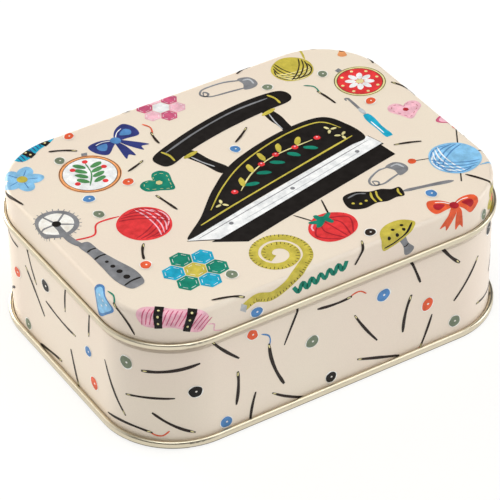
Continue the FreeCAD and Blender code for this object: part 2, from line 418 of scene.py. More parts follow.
@dataclass(frozen=True)
class InkFinish:
    """Offset ink under the varnish, from a painted original.

    It gives the eye a matt, slightly uneven colour, like gouache that has pooled a little.
    """

    ink: Ink
    pool_mm: float = 2.4
    tooth_mm: float = 0.4
    tooth_low: float = 0.94
    tooth_high: float = 1.05
    thin_gain: float = 1.22
    thin_lift: float = 0.006
    thick_gain: float = 0.84
    detail: float = 3.0
    roughness: float = 0.42
    roughness_spread: float = 0.04
    specular: float = 0.16
    varnish: Varnish = Varnish(coat=0.05)

    def build(self) -> bpy.types.Material:
        """The material of this ink."""
        finish = Finish(f"ink_{self.ink.name.lower()}")
        *body, alpha = srgb_to_linear(self.ink.value)
        toned = finish.add("ShaderNodeMix", {
            "Factor": finish.mottle(self.pool_mm, detail=self.detail),
            "A": (*(min(1.0, c * self.thin_gain + self.thin_lift) for c in body), alpha),
            "B": (*(c * self.thick_gain for c in body), alpha),
        }, data_type="RGBA")
        tooth = finish.mottle(self.tooth_mm, self.tooth_low, self.tooth_high)
        colour = finish.add("ShaderNodeVectorMath", {0: toned, "Scale": tooth}, operation="SCALE")
        return finish.close({
            "Base Color": colour,
            "Roughness": finish.about(self.pool_mm, self.roughness, self.roughness_spread),
            "Specular IOR Level": self.specular,
            **self.varnish.over(finish),
        })


class InkStore:
    """Makes each ink's material once."""

    def __init__(self) -> None:
        """Starts with no ink made."""
        self.made: dict[Ink, bpy.types.Material] = {}

    def get(self, ink: Ink) -> bpy.types.Material:
        """The material of an ink."""
        if ink not in self.made:
            self.made[ink] = InkFinish(ink).build()
        return self.made[ink]


# ---- the tin's surfaces ----


@dataclass(frozen=True)
class TinForm:
    """The tin's sizes in millimetres, with the overall ones read from the frame."""

    half_length: float
    half_width: float
    lid_top: float
    lid_foot: float
    corner_radius: float = 21.3
    sheet: float = 0.25
    lid_inset: float = 0.1
    lid_edge: float = 1.2
    lid_rim: float = 1.9
    lacquer_tuck: float = 0.25
    rim_clearance: float = 0.03
    shoulder_drop: float = 1.7
    shoulder_rise: float = 0.9
    neck_offset: float = -0.65
    roll: float = 0.65
    seat_gap: float = 0.1
    lid_rim_width: float = 1.25

    @classmethod
    def from_frame(cls) -> "TinForm":
        """Reads the lid's box and takes its curl off it."""
        low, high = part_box("lid")
        proud = cls.lid_rim_width - cls.lid_inset
        return cls(high.x / MM - proud, high.y / MM - proud, high.z / MM, low.z / MM)

    @property
    def core_x(self) -> float:
        """Half the length of the long sides' straight part."""
        return self.half_length - self.corner_radius

    @property
    def core_y(self) -> float:
        """Half the length of the short sides' straight part."""
        return self.half_width - self.corner_radius

    @property
    def edge_z(self) -> float:
        """Where the lid's rounded edge ends and its skirt begins."""
        return self.lid_top - self.lid_edge

    @property
    def lid_rim_top(self) -> float:
        """The top of the lid's curl."""
        return self.lid_foot + self.lid_rim

    @property
    def shoulder_z(self) -> float:
        """The lower edge of the shoulder."""
        return self.lid_foot - self.shoulder_drop

    @property
    def neck_z(self) -> float:
        """The foot of the neck."""
        return self.shoulder_z + self.shoulder_rise

    @property
    def roll_foot_z(self) -> float:
        """Where the neck turns into the roll at its top."""
        return self.lid_top - self.sheet - self.seat_gap - self.roll


@dataclass
class LidSkin:
    """Wraps a flat print over the lid's panel, its rounded edge and its skirt."""

    form: TinForm
    hidden_depth: float = 0.5
    corner_step: float = 0.24
    body: str = "lid"

    @property
    def flat_radius(self) -> float:
        """The plan radius of the panel's flat part."""
        return self.form.corner_radius - self.form.lid_inset - self.form.lid_edge

    def past_edge(self, x: float, y: float) -> tuple[Vector, Vector, float]:
        """Where a flat point lies against the edge of the panel's flat part.

        Args:
            x: along the tin, in millimetres.
            y: to the back, in millimetres.

        Returns:
            The nearest point of that edge, the way outwards, and how far past it the point is.
        """
        form = self.form
        core = Vector((max(-form.core_x, min(form.core_x, x)), max(-form.core_y, min(form.core_y, y))))
        away = Vector((x, y)) - core
        if away.length < TINY:
            return core, Vector((1, 0)), -self.flat_radius
        outwards = away.normalized()
        return core + outwards * self.flat_radius, outwards, away.length - self.flat_radius

    def place(self, x: float, y: float, height: float) -> Vector:
        """Moves a flat point onto the lid.

        Args:
            x: along the tin, in millimetres.
            y: to the back, in millimetres.
            height: of the film over the lacquer, in millimetres.

        Returns:
            The point in metres.
        """
        form = self.form
        edge, outwards, past = self.past_edge(x, y)
        if past <= 0:
            return Vector((x, y, form.lid_top + height)) * MM
        radius = form.lid_edge + height
        bend = min(past / form.lid_edge, math.pi / 2)
        drop = max(0.0, past - form.lid_edge * math.pi / 2)
        flat = edge + outwards * radius * math.sin(bend)
        return Vector((flat.x, flat.y, form.edge_z + radius * math.cos(bend) - drop)) * MM

    def cuts(self, low: Vector, high: Vector) -> list[tuple[Vector, Vector]]:
        """The lines that a flat print is cut along so that it can bend.

        Args:
            low: the print's lowest corner.
            high: its highest corner.

        Returns:
            A point and a normal for each line.
        """
        corners = [(x, y) for x in (low.x, high.x) for y in (low.y, high.y)]
        if max(self.past_edge(x, y)[2] for x, y in corners) <= 0:
            return []
        lines = []
        for axis, normal in ((0, Vector((1, 0, 0))), (1, Vector((0, 1, 0)))):
            for n in range(int((high[axis] - low[axis]) / self.corner_step)):
                point = Vector((0, 0, 0))
                point[axis] = low[axis] + (n + 1) * self.corner_step
                lines.append((point, normal))
        return lines

    def keeps(self, x: float, y: float) -> bool:
        """Whether a flat point is in sight: not behind the lid's curl."""
        form = self.form
        skirt = form.edge_z - form.lid_rim_top + self.hidden_depth
        return self.past_edge(x, y)[2] < form.lid_edge * math.pi / 2 + skirt


@dataclass
class WallSkin:
    """Wraps a flat print round the body's wall. Flat x runs round the tin from the middle of the front."""

    form: TinForm
    low_z: float = 1.65
    high_z: float = 36.5
    bend_step: float = 0.9
    body: str = "tin"

    @property
    def girth(self) -> float:
        """The length of the wall's outer face, all round."""
        form = self.form
        return 4 * (form.core_x + form.core_y) + 2 * math.pi * form.corner_radius

    def round_the_tin(self, along: float) -> tuple[Vector, Vector]:
        """A place on the wall's face.

        Args:
            along: millimetres round from the middle of the front, towards +X.

        Returns:
            The point in plan and the way outwards.
        """
        form = self.form
        quarter = form.corner_radius * math.pi / 2
        left = along % self.girth
        heading = Vector((1, 0))
        corner = Vector((form.core_x, -form.core_y))
        first = True
        for run in (form.core_x, 2 * form.core_y, 2 * form.core_x, 2 * form.core_y, form.core_x):
            outwards = Vector((heading.y, -heading.x))
            if left <= run:
                start = Vector((0, -form.core_y)) if first else corner
                return start + heading * left + outwards * form.corner_radius, outwards
            corner = corner if first else corner + heading * run
            first = False
            left -= run
            if left <= quarter:
                turned = outwards.copy()
                turned.rotate(Matrix.Rotation(left / form.corner_radius, 2))
                return corner + turned * form.corner_radius, turned
            left -= quarter
            heading = Vector((-heading.y, heading.x))
        return Vector((0, -form.half_width)), Vector((0, -1))

    def place(self, x: float, y: float, height: float) -> Vector:
        """Moves a flat point onto the wall.

        Args:
            x: millimetres round the tin.
            y: height over the table, in millimetres.
            height: of the film over the lacquer, in millimetres.

        Returns:
            The point in metres.
        """
        form = self.form
        point, outwards = self.round_the_tin(x)
        stepped = max(0.0, min(1.0, (y - form.shoulder_z) / form.shoulder_rise))
        point = point + outwards * (stepped * form.neck_offset + height)
        return Vector((point.x, point.y, y)) * MM

    def cuts(self, low: Vector, high: Vector) -> list[tuple[Vector, Vector]]:
        """The lines that a flat print is cut along so that it can bend, or ends at."""
        across = Vector((0, 1, 0))
        levels = (self.low_z, self.form.shoulder_z, self.form.neck_z, self.high_z)
        lines = [(Vector((0, z, 0)), across) for z in levels if low.y < z < high.y]
        for n in range(int((high.x - low.x) / self.bend_step)):
            lines.append((Vector((low.x + (n + 1) * self.bend_step, 0, 0)), Vector((1, 0, 0))))
        return lines

    def keeps(self, x: float, y: float) -> bool:
        """Whether a flat point is within the printed height."""
        return self.low_z < y < self.high_z


# ---- drawing in ink ----


def scaled(points: Iterable[Point], size: float) -> list[Point]:
    """Brings points that are drawn at a size of 1 to their real size."""
    return [(x * size, y * size) for x, y in points]


def mirrored(half: Sequence[Point], flip: Point) -> list[Point]:
    """An outline from one half of it.

    Args:
        half: the outline's points on one side of its axis and on the axis.
        flip: what x and y are multiplied by on the other side, such as (1, -1) under a level axis.

    Returns:
        The outline's points, out along the one side and back along the other.
    """
    other = [(x * flip[0], y * flip[1]) for x, y in reversed(half)]
    return [*half, *(point for point in other if point not in half)]


def polar(reach: float, bearing: float) -> Point:
    """The point at a distance from the middle and at degrees from the x axis."""
    return reach * math.cos(math.radians(bearing)), reach * math.sin(math.radians(bearing))


def ring_points(x: float, y: float, radius: float, count: int, start: float = 0.0) -> list[Point]:
    """Points spread evenly on a circle, the first at start degrees."""
    angles = [math.radians(start) + math.tau * n / count for n in range(count)]
    return [(x + radius * math.cos(a), y + radius * math.sin(a)) for a in angles]


def smooth_path(points: Sequence[Point], closed: bool, step: float = 0.5, fewest: int = 2,
                most: int = 14) -> list[Vector]:
    """A smooth line through a few points, as a Catmull-Rom spline.

    Args:
        points: the points it passes through.
        closed: whether it returns to the first one.
        step: about how far apart the line's own points are, in millimetres.
        fewest: steps from one point to the next, at the least.
        most: steps from one point to the next, at the most.

    Returns:
        The line's points.
    """
    knots = [Vector(p) for p in points]
    count = len(knots)
    line = []
    for k in range(count if closed else count - 1):
        near = [k + j if closed else max(0, min(count - 1, k + j)) for j in (-1, 0, 1, 2)]
        before, start, stop, after = (knots[n % count] for n in near)
        steps = max(fewest, min(most, round((stop - start).length / step)))
        for n in range(steps):
            t = n / steps
            line.append(0.5 * (
                2 * start + (stop - before) * t + (2 * before - 5 * start + 4 * stop - after) * t**2
                + (3 * start - before - 3 * stop + after) * t**3))
    if not closed:
        line.append(knots[-1])
    return line


@dataclass(frozen=True)
class Brush:
    """How the painter's hand strays: outlines wave a little, and a stroke breathes and thins at its ends."""

    outline_waves: tuple[int, ...] = (2, 3, 5)
    weakest_wave: float = 0.3
    breath: float = 0.12
    breath_rate: float = 9.0
    taper_rate: float = 6.0
    taper_start: float = 0.15


class PrintFilm:
    """One motif's films of ink, drawn flat. Its z counts the layers until it is wrapped."""

    def __init__(self, name: str, seed: int, lift: int = 0) -> None:
        """Starts an empty motif.

        Args:
            name: the piece's name.
            seed: of the hand's small slips.
            lift: how many films of other motifs lie under this one.
        """
        self.name = name
        self.lift = lift
        self.mesh = bmesh.new()
        self.inks: list[Ink] = []
        self.hand = random.Random(seed)
        self.brush = Brush()
        self.pose = Matrix.Identity(4)

    def at(self, x: float, y: float, turn: float = 0.0, scale: float = 1.0) -> "PrintFilm":
        """Moves the pen's own frame. Returns the film itself."""
        self.pose = Matrix.Translation((x, y, 0)) @ Matrix.Rotation(math.radians(turn), 4, "Z")
        self.pose = self.pose @ Matrix.Scale(scale, 4)
        return self

    def lay(self, verts: list[bmesh.types.BMVert], ink: Ink, layer: int) -> None:
        """Gives new faces their ink, faces them up and moves them to their layer.

        Args:
            verts: the new vertices, still in the pen's own frame.
            ink: the ink.
            layer: how many films lie below.
        """
        if ink not in self.inks:
            self.inks.append(ink)
        bmesh.ops.transform(self.mesh, matrix=self.pose, verts=verts)
        for vert in verts:
            vert.co.z = layer
        faces = {face for vert in verts for face in vert.link_faces}
        for face in faces:
            face.material_index = self.inks.index(ink)
            face.normal_update()
        bmesh.ops.reverse_faces(self.mesh, faces=[face for face in faces if face.normal.z < 0])

    def disc(self, x: float, y: float, wide: float, tall: float, ink: Ink, layer: int = 0,
             turn: float = 0.0, slip: float = 0.02, sides: int = 32) -> None:
        """Fills an ellipse, drawn by hand.

        Args:
            x: of its centre.
            y: of its centre.
            wide: its width.
            tall: its height.
            ink: the ink.
            layer: how many films lie below.
            turn: degrees that it is turned by.
            slip: how far the outline strays, as a share of the radius.
            sides: how many sides its outline has.
        """
        made = bmesh.ops.create_circle(self.mesh, cap_ends=True, segments=sides, radius=0.5)["verts"]
        waves = [(n, self.hand.uniform(0, math.tau), self.hand.uniform(self.brush.weakest_wave, 1) * slip)
                 for n in self.brush.outline_waves]
        for vert in made:
            angle = math.atan2(vert.co.y, vert.co.x)
            vert.co *= 1 + sum(size * math.sin(n * angle + phase) for n, phase, size in waves)
        shape = Matrix.Translation((x, y, 0)) @ Matrix.Rotation(math.radians(turn), 4, "Z")
        bmesh.ops.transform(self.mesh, matrix=shape @ Matrix.Diagonal((wide, tall, 1, 1)), verts=made)
        self.lay(made, ink, layer)

    def dots(self, centres: Iterable[Point], size: float, ink: Ink, layer: int, sides: int = 12) -> None:
        """Fills a round dot of one size at each of the centres."""
        for x, y in centres:
            self.disc(x, y, size, size, ink, layer, sides=sides)

    def shape(self, points: Sequence[Point], ink: Ink, layer: int = 0, smooth: bool = True,
              slip: float = 0.06) -> None:
        """Fills an outline.

        Args:
            points: its corners, or the points that its smooth outline passes through.
            ink: the ink.
            layer: how many films lie below.
            smooth: whether the outline is rounded.
            slip: how far the hand strays at each point, in millimetres.
        """
        strayed = [(x + self.hand.gauss(0, slip), y + self.hand.gauss(0, slip)) for x, y in points]
        line = smooth_path(strayed, True) if smooth else [Vector(p) for p in strayed]
        verts = [self.mesh.verts.new((p.x, p.y, 0)) for p in line]
        self.mesh.faces.new(verts)
        self.lay(verts, ink, layer)

    def stroke(self, points: Sequence[Point | Vector], width: float, ink: Ink, layer: int = 0,
               closed: bool = False, ends: float = 0.35, smooth: bool = True) -> None:
        """Draws a line with a brush: its width breathes, and open ends are thinner.

        Args:
            points: the points that the line passes through.
            width: of the line in its middle.
            ink: the ink.
            layer: how many films lie below.
            closed: whether the line returns to its start.
            ends: width at an open end, as a share of the width.
            smooth: whether the line is rounded.
        """
        brush = self.brush
        line = smooth_path(points, closed) if smooth else [Vector(p) for p in points]
        count = len(line)
        phase = self.hand.uniform(0, math.tau)
        left, twins = [], []
        for k, point in enumerate(line):
            after = line[(k + 1) % count] if closed else line[min(k + 1, count - 1)]
            before = line[k - 1] if closed or k else line[0]
            along = (after - before).normalized()
            side = Vector((-along.y, along.x))
            share = k / (count - 1)
            half = width / 2 * (1 + brush.breath * math.sin(phase + brush.breath_rate * share))
            if not closed:
                full = min(1.0, brush.taper_rate * min(share, 1 - share) + brush.taper_start)
                half *= ends + (1 - ends) * full
            left.append(self.mesh.verts.new((*(point + side * half), 0)))
            twins.append((point - side * half, left[-1]))
        edges = [self.mesh.edges.new((left[k], left[k + 1])) for k in range(count - 1)]
        if closed:
            edges.append(self.mesh.edges.new((left[-1], left[0])))
        grown = bmesh.ops.extrude_edge_only(self.mesh, edges=edges)["geom"]
        new = {v for v in grown if isinstance(v, bmesh.types.BMVert)}
        for place, vert in twins:
            twin = next(e.other_vert(vert) for e in vert.link_edges if e.other_vert(vert) in new)
            twin.co = (*place, 0)
        self.lay([*left, *new], ink, layer)

    def finish(self, skin: LidSkin | WallSkin, inks: InkStore) -> None:
        """Wraps the motif on a skin and makes it a piece that rides on the skin's body.

        Args:
            skin: the lid's or the wall's skin.
            inks: the store of ink materials.
        """
        mesh = self.mesh
        bmesh.ops.triangulate(mesh, faces=mesh.faces[:])
        xs, ys = [v.co.x for v in mesh.verts], [v.co.y for v in mesh.verts]
        for point, normal in skin.cuts(Vector((min(xs), min(ys))), Vector((max(xs), max(ys)))):
            geometry = mesh.verts[:] + mesh.edges[:] + mesh.faces[:]
            bmesh.ops.bisect_plane(mesh, geom=geometry, dist=CUT_SNAP, plane_co=point, plane_no=normal)
        hidden = [f for f in mesh.faces if not skin.keeps(*f.calc_center_median().xy)]
        bmesh.ops.delete(mesh, geom=hidden, context="FACES")
        for vert in mesh.verts:
            vert.co = skin.place(vert.co.x, vert.co.y, FILM_GAP + FILM_STEP * (self.lift + vert.co.z))
        for face in mesh.faces:
            face.smooth = True
        piece = add_mesh(self.name, mesh)
        for ink in self.inks:
            piece.data.materials.append(inks.get(ink))
        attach(piece, skin.body)
        LOG.info("%s: %d faces", self.name, len(piece.data.polygons))


# ---- the motifs ----


@dataclass
class FlatIron:
    """An old cast flat iron on its trivet, with a leafy spray on its side. The nose points left."""

    trim: Ink = Ink.OCHRE
    rivet: float = 1.3

    def draw(self, film: PrintFilm) -> None:
        """Draws the iron from the trivet up."""
        self.draw_sole(film)
        self.draw_casting(film)
        self.draw_handle(film)
        self.draw_spray(film)

    def draw_sole(self, film: PrintFilm) -> None:
        """The black trivet and the ground steel sole on it."""
        front = [(-38, -10), (-31, -15.7), (-12, -15.4), (10, -15), (32, -14.6), (31.5, -9)]
        film.shape([(-33, -15), (-12, -14.6), (12, -14.3), (31, -14), (30.6, -20.5), (8, -21), (-14, -21.4),
                    (-26, -21.4)], Ink.COAL, 0, smooth=False, slip=0.25)
        film.shape([front[0], (-24, -9.6), (10, -9.2), *front[:0:-1]], Ink.PAPER, 1, smooth=False, slip=0.1)
        film.stroke(front, 0.45, Ink.COAL, 2, smooth=False)
        film.stroke([(-35, -11.4), (-20, -11.2), (8, -10.9), (30, -10.6)], 0.28, Ink.SLATE, 2)
        film.stroke([(-20, -13.6), (0, -13.5), (24, -13)], 0.25, Ink.SILVER, 2)
        film.dots([(x, -12.4) for x in (-24, -1, 24)], self.rivet, Ink.SLATE, 2, sides=32)

    def draw_casting(self, film: PrintFilm) -> None:
        """The black body, with its trim lines."""
        film.shape([(30.5, -9), (31.5, -1), (28, 7), (14, 9.6), (-4, 8), (-17, 2.6), (-28, -4.5),
                    (-37.5, -9.7), (-26, -9.7), (-10, -9.4), (10, -9.2), (24, -9)], Ink.COAL, 2, slip=0.1)
        film.stroke([(-30.5, -7.4), (-18, -6.8), (0, -6.4), (18, -6.1), (28.4, -6)], 0.6, self.trim, 3)
        film.stroke([(-24, -4.2), (-14, 1.6), (-2, 6), (14, 7.6), (26, 5.4), (28.8, -1)], 0.5, self.trim, 3)
        for x, y, turn in ((-20, -4.2, 180), (26, 0.6, 100), (26.4, -3.8, 20)):
            for n, leaf in enumerate(ring_points(x, y, 1.15, 3, turn)):
                film.disc(*leaf, 1.9, 0.9, Ink.STRAW, 3 + n, turn=turn + 120 * n, slip=0.03, sides=12)

    def draw_handle(self, film: PrintFilm) -> None:
        """Two posts and the turned grip that they carry."""
        for (foot_x, foot_y), (head_x, head_y) in (((-8.5, 6.5), (-10.5, 20.5)), ((17.5, 8), (19.5, 20.5))):
            middle = (foot_x + head_x) / 2
            film.stroke([(foot_x, foot_y), (middle, 13), (head_x, head_y)], 3.4, Ink.COAL, 1, ends=0.9)
            film.stroke([(foot_x - 0.9, 10), (middle - 1, 14), (head_x - 0.6, 18)], 0.4, Ink.SILVER, 2)
            film.disc(head_x, head_y - 1.6, 5.2, 1.5, self.trim, 2)
        film.shape([(-20, 21.6), (-18.6, 25.4), (-8, 27.4), (5, 28.4), (18, 27.8), (28, 25.2), (30, 21.4),
                    (27.4, 18.7), (18, 20), (5, 20.9), (-8, 20.4), (-17.6, 18.9)], Ink.COAL, 3)
        film.stroke([(-15, 24.4), (-2, 26), (12, 26.2), (24, 24.2)], 0.6, Ink.SLATE, 4)
        for x, low, high in ((-15.6, 19.8, 25.6), (25, 19.8, 25.4)):
            film.stroke([(x, low), (x + 0.6, (low + high) / 2), (x, high)], 0.7, self.trim, 4)

    def draw_spray(self, film: PrintFilm) -> None:
        """Stems with leaves and berries, in gold and red."""
        film.stroke([(-12, -3.4), (-4, 0.6), (6, 2.2), (19, 0.4)], 0.45, Ink.STRAW, 3)
        leaves = [(-9, -0.6, 62), (-7.6, -3.2, -28), (-3, 2.6, 70), (-1.6, -1.6, -35), (3, 4.4, 75),
                  (4.4, -0.6, -45), (9.4, 4.2, 55), (10.4, -1, -60), (15.6, 2.9, 40), (16, -2, -50)]
        for n, (x, y, turn) in enumerate(leaves):
            film.disc(x, y, 4.2, 1.7, Ink.TEAL if n % 2 else self.trim, 4, turn=turn, slip=0.05, sides=18)
        for x, y in ((-13.6, -2.6), (6.6, 2.4), (12.9, 1.2), (20.6, 0.2), (0.6, 1.8)):
            film.disc(x, y, 2, 2, Ink.SCARLET, 5, sides=16)
            film.disc(x + 0.25, y + 0.3, 0.6, 0.6, Ink.ROSE, 6, sides=8)


@dataclass
class YarnBall:
    """A ball of wool with its loose end. Three sets of wraps cross over it, each set turned further."""

    radius: float
    wool: Ink
    shade: Ink
    light: Ink
    wraps: int = 4
    first_wrap: float = 0.18
    wrap_pitch: float = 0.2
    wrap_reach: float = 0.93
    wrap_rise: float = 0.1

    def draw(self, film: PrintFilm) -> None:
        """Draws the ball and the wraps of wool over it."""
        size = self.radius
        film.stroke(scaled([(0.2, -1.0), (1.0, -1.35), (1.6, -1.0), (2.3, -1.4)], size), 0.6, self.wool, 0)
        film.disc(0, 0, 2 * size, 2 * size, self.wool, 1, slip=0.012, sides=48)
        base = film.pose.copy()
        for turn, ink, layer in ((12, self.shade, 2), (72, self.light, 3), (128, self.shade, 4)):
            film.pose = base @ Matrix.Rotation(math.radians(turn), 4, "Z")
            for n in range(self.wraps):
                low = (self.first_wrap + self.wrap_pitch * n) * size
                high = low + self.wrap_rise * size
                half = math.sqrt(size**2 - low**2) * self.wrap_reach
                film.stroke([(-half, low * 0.8), (-half * 0.4, high), (half * 0.4, high), (half, low * 0.8)],
                            0.42, ink, layer)
        film.pose = base


@dataclass
class Bow:
    """A tied ribbon bow."""

    size: float
    ribbon: Ink
    fold: Ink

    def draw(self, film: PrintFilm) -> None:
        """Draws the tails, the loops, their folds and the knot."""
        tail = [(0.05, 0), (0.35, -0.5), (0.62, -1.1), (0.36, -0.98), (0.22, -1.2), (0.02, -0.5)]
        loop = [(0, 0.02), (0.42, 0.44), (0.95, 0.5), (1.08, 0.05), (0.86, -0.38), (0.4, -0.24)]
        fold = [(0.36, 0.12), (0.74, 0.26), (0.84, 0.02), (0.66, -0.16)]
        shine = [(0.1, 0.1), (0.4, 0.3), (0.7, 0.36)]
        for side in (-1, 1):
            for points, ink, layer in ((tail, self.ribbon, 0), (loop, self.ribbon, 1), (fold, self.fold, 2)):
                film.shape(scaled([(x * side, y) for x, y in points], self.size), ink, layer)
            film.stroke(scaled([(x * side, y) for x, y in shine], self.size), 0.3, Ink.PAPER, 2)
        film.disc(0, 0, 0.38 * self.size, 0.44 * self.size, self.fold, 3)


@dataclass
class SafetyPin:
    """A closed safety pin: wire, coil and cap."""

    length: float
    wire: Ink = Ink.SLATE
    shine: Ink = Ink.SILVER
    gauge: float = 0.62

    def draw(self, film: PrintFilm) -> None:
        """Draws the wire round its coil, then the cap."""
        left, right = -self.length / 2, self.length / 2
        film.stroke([(right - 3, 2), (0, 3.1), (left + 3, 2.3), (left + 1.2, 1.2), (left + 0.7, -0.4),
                     (left + 2, -1.6), (left + 3, -0.5), (left + 2, 0.7), (left + 1.3, -1.2)],
                    self.gauge, self.wire, 0)
        film.stroke([(left + 1.3, -1.2), (left + 3.6, -2.2), (0, -2), (right - 3, -1.8)],
                    self.gauge, self.wire, 0)
        film.shape([(right - 4.6, 3), (right - 1.6, 2.9), (right, 1.2), (right, -1.2), (right - 1.6, -2.7),
                    (right - 4.6, -2.6), (right - 3.9, 0.2)], self.wire, 1)
        film.stroke([(right - 3.4, 2), (right - 1.4, 1.6), (right - 1, -0.8)], 0.6, self.shine, 2)
        film.stroke([(left + 3.2, 2.75), (0, 3.4), (right - 5, 2.7)], 0.22, self.shine, 1)


@dataclass
class TapeMeasure:
    """A curled tape measure with its marks and a metal tip. It carries no figures."""

    width: float = 3.1
    tape: Ink = Ink.OCHRE
    marks: Ink = Ink.COAL
    coil_points: int = 18
    coil_start: float = 200
    coil_step: float = -38
    coil_radius: float = 2.6
    coil_growth: float = 0.42
    mark_pitch: float = 1.1
    mark_width: float = 0.24
    mark_foot: float = 0.47
    long_mark: float = 0.05
    short_mark: float = 0.22
    long_every: int = 4

    def draw(self, film: PrintFilm) -> None:
        """Draws the coil of tape, its marks and the tip."""
        coil = [polar(self.coil_radius + self.coil_growth * n, self.coil_start + self.coil_step * n)
                for n in range(self.coil_points)]
        path = [*coil, (-6.5, -12.4), (-12.6, -13.2), (-17.6, -10.6), (-22.4, -11.4)]
        film.stroke(path, self.width, self.tape, 0, ends=1.0)
        line = smooth_path(path, False, self.mark_pitch)
        for n in range(1, len(line) - 2):
            along = (line[n + 1] - line[n]).normalized()
            side = Vector((-along.y, along.x)) * self.width
            reach = self.short_mark if n % self.long_every else self.long_mark
            film.stroke([line[n] + side * self.mark_foot, line[n] + side * reach],
                        self.mark_width, self.marks, 1, ends=1.0, smooth=False)
        film.disc(*line[-1], 2.6, self.width + 1.2, Ink.SILVER, 2, turn=8, sides=4)


class Stitchwork(Enum):
    """What is worked on the cloth in a hoop."""

    SPRIG = "sprig"
    DAISY = "daisy"


@dataclass
class Hoop:
    """An embroidery hoop with cloth in it and a plant worked on the cloth."""

    radius: float
    cloth: Ink = Ink.PAPER
    wood: Ink = Ink.APRICOT
    leaf: Ink = Ink.LEAF
    berry: Ink = Ink.SCARLET
    work: Stitchwork = Stitchwork.SPRIG
    cloth_share: float = 0.87
    rim_share: float = 0.97

    def draw(self, film: PrintFilm) -> None:
        """Draws the ring, its screw, the cloth and the stitchwork."""
        size = self.radius
        film.disc(0, size + 0.6, 2.6, 2.2, Ink.SLATE, 0, sides=4, turn=45, slip=0)
        film.disc(0, 0, 2 * size, 2 * size, self.wood, 1, sides=48, slip=0.01)
        cloth = 2 * self.cloth_share * size
        film.disc(0, 0, cloth, cloth, self.cloth, 2, sides=48, slip=0.01)
        film.stroke(ring_points(0, 0, size * self.rim_share, 14), 0.22, Ink.SEPIA, 2, closed=True)
        film.stroke(ring_points(0, 0, size * self.cloth_share, 14), 0.2, Ink.SEPIA, 3, closed=True)
        if self.work is Stitchwork.DAISY:
            self.draw_daisy(film)
        else:
            self.draw_sprig(film)

    def draw_daisy(self, film: PrintFilm) -> None:
        """Draws a ring of petals round a heart, in a ring of knots."""
        size = self.radius
        for n, (x, y) in enumerate(ring_points(0, 0, 0.36 * size, 8)):
            film.disc(x, y, 0.42 * size, 0.24 * size, self.leaf, 4, turn=45 * n, sides=14, slip=0.04)
        film.disc(0, 0, 0.3 * size, 0.3 * size, self.berry, 5, sides=14)
        film.dots(ring_points(0, 0, 0.72 * size, 8, 22.5), 0.13 * size, self.berry, 4, sides=10)

    def draw_sprig(self, film: PrintFilm) -> None:
        """Draws a leafy stem with berries."""
        size = self.radius
        film.stroke(scaled([(-0.1, -0.62), (0.05, 0), (-0.05, 0.6)], size), 0.4, self.leaf, 3)
        for n in range(4):
            y = (-0.42 + 0.26 * n) * size
            for side in (-1, 1):
                film.disc(side * 0.27 * size, y + 0.1 * size, 0.46 * size, 0.2 * size, self.leaf, 4,
                          turn=side * 32, sides=14, slip=0.04)
        berries = [(-0.05, 0.68), (0.5, 0.3), (-0.5, 0.32), (0.42, -0.46), (-0.46, -0.44)]
        film.dots(scaled(berries, size), 0.19 * size, self.berry, 5)


@dataclass
class Pincushion:
    """A stuffed tomato pincushion with two needles left in it."""

    radius: float
    skin: Ink = Ink.SCARLET
    seam: Ink = Ink.CRIMSON
    leaf: Ink = Ink.TEAL

    def draw(self, film: PrintFilm) -> None:
        """Draws the needles, the stuffed segments and the felt leaves."""
        size = self.radius
        film.stroke(scaled([(0.2, 0.2), (0.9, 1.5)], size), 0.5, Ink.SEPIA, 0)
        film.stroke(scaled([(-0.1, 0.2), (-0.55, 1.55)], size), 0.45, Ink.SEPIA, 0)
        film.disc(0, 0, 2 * size, 1.72 * size, self.skin, 1, sides=48)
        for bulge in (-0.85, -0.42, 0.0, 0.42, 0.85):
            seam = [(bulge * 0.12, 0.6), (bulge, 0), (bulge * 0.35, -0.8)]
            film.stroke(scaled(seam, size), 0.45, self.seam, 2)
        film.stroke(scaled([(-0.7, 0.3), (-0.62, 0.5), (-0.4, 0.64)], size), 0.5, Ink.ROSE, 3)
        for n, turn in enumerate((20, 95, 160, 225, 310)):
            away = math.radians(turn)
            film.disc(0.26 * size * math.cos(away), 0.56 * size + 0.14 * size * math.sin(away), 0.62 * size,
                      0.24 * size, self.leaf, 4 + n, turn=turn * 0.9, sides=14, slip=0.05)


@dataclass
class PatchFlower:
    """Seven hexagon patches pieced into a flower, with the running stitch that holds them."""

    side: float
    petals: Sequence[Ink]
    heart: Ink
    thread: Ink = Ink.PAPER
    seam_gap: float = 1.04
    stitch_place: float = 0.66
    stitch_reach: float = 0.22

    def draw(self, film: PrintFilm) -> None:
        """Draws the patches and the stitches."""
        pitch = self.side * math.sqrt(3) * self.seam_gap
        for n, (x, y) in enumerate([(0.0, 0.0), *ring_points(0, 0, pitch, 6, 30)]):
            ink = self.petals[n % len(self.petals)] if n else self.heart
            film.disc(x, y, 2 * self.side, 2 * self.side, ink, 0, turn=30, sides=6, slip=0.01)
            for bearing in range(30, 390, 60):
                away = polar(self.side * self.stitch_place, bearing)
                here = Vector((x + away[0], y + away[1]))
                along = Vector(polar(1, bearing + 90)) * self.side * self.stitch_reach
                film.stroke([here - along, here + along], 0.3, self.thread, 1, smooth=False)


